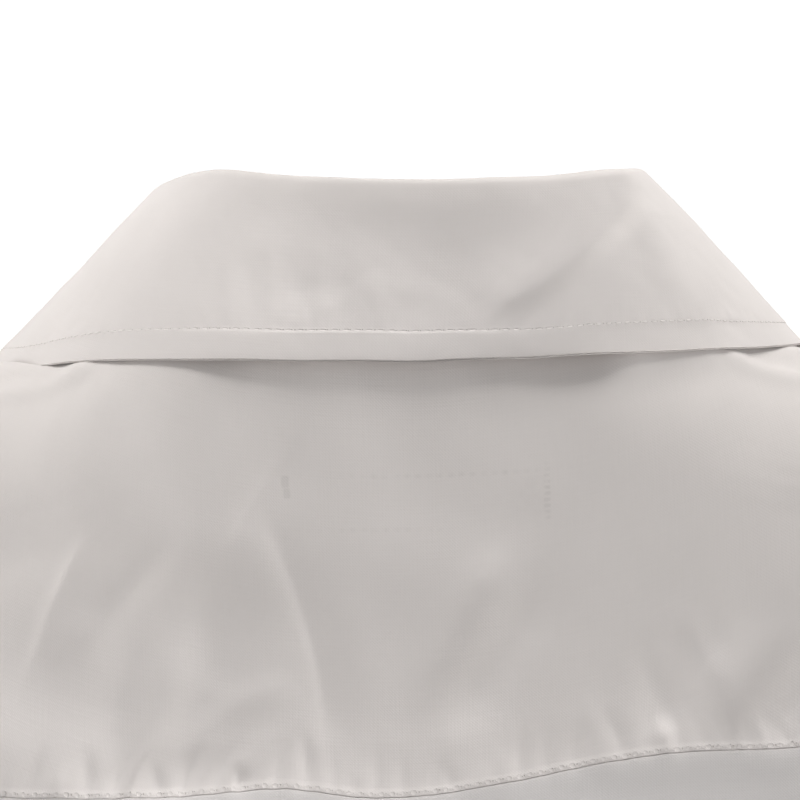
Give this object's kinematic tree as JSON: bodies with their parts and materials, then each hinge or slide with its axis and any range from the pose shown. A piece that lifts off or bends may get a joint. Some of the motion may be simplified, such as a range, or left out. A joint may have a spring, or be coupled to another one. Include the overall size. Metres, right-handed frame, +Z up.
{
  "type": "button-up shirt",
  "caption": "Hollow filled-out long-sleeved button-up shirt with a yoke, turned-down collar and buttoned cuffs, open at neck, hem and wrists.",
  "frame": {"origin": "middle of the neck at the height where the collar meets the body, where the wearer holds the shirt up", "axes": "+X to the wearer's left, +Y to the back, +Z up"},
  "size_m": [0.743, 0.2552, 0.7895],
  "materials": {
    "poplin": "plain-weave white cotton, matt, lightly creased",
    "collar_poplin": "the same cotton, interlined and topstitched",
    "label_tape": "blank woven tape",
    "button": "glossy pearl white"
  },
  "bodies": {
    "root": {"back": "poplin", "button_collar": "button", "button_cuff_left": "button", "button_cuff_right": "button", "button_front_1": "button", "button_front_2": "button", "button_front_3": "button", "button_front_4": "button", "button_front_5": "button", "button_front_6": "button", "button_front_7": "button", "collar_leaf": "collar_poplin", "collar_stand": "collar_poplin", "cuff_left": "collar_poplin", "cuff_right": "collar_poplin", "front_left": "poplin", "front_right": "poplin", "label": "label_tape", "sleeve_left": "poplin", "sleeve_right": "poplin", "yoke": "poplin"}
  },
  "joints": []
}
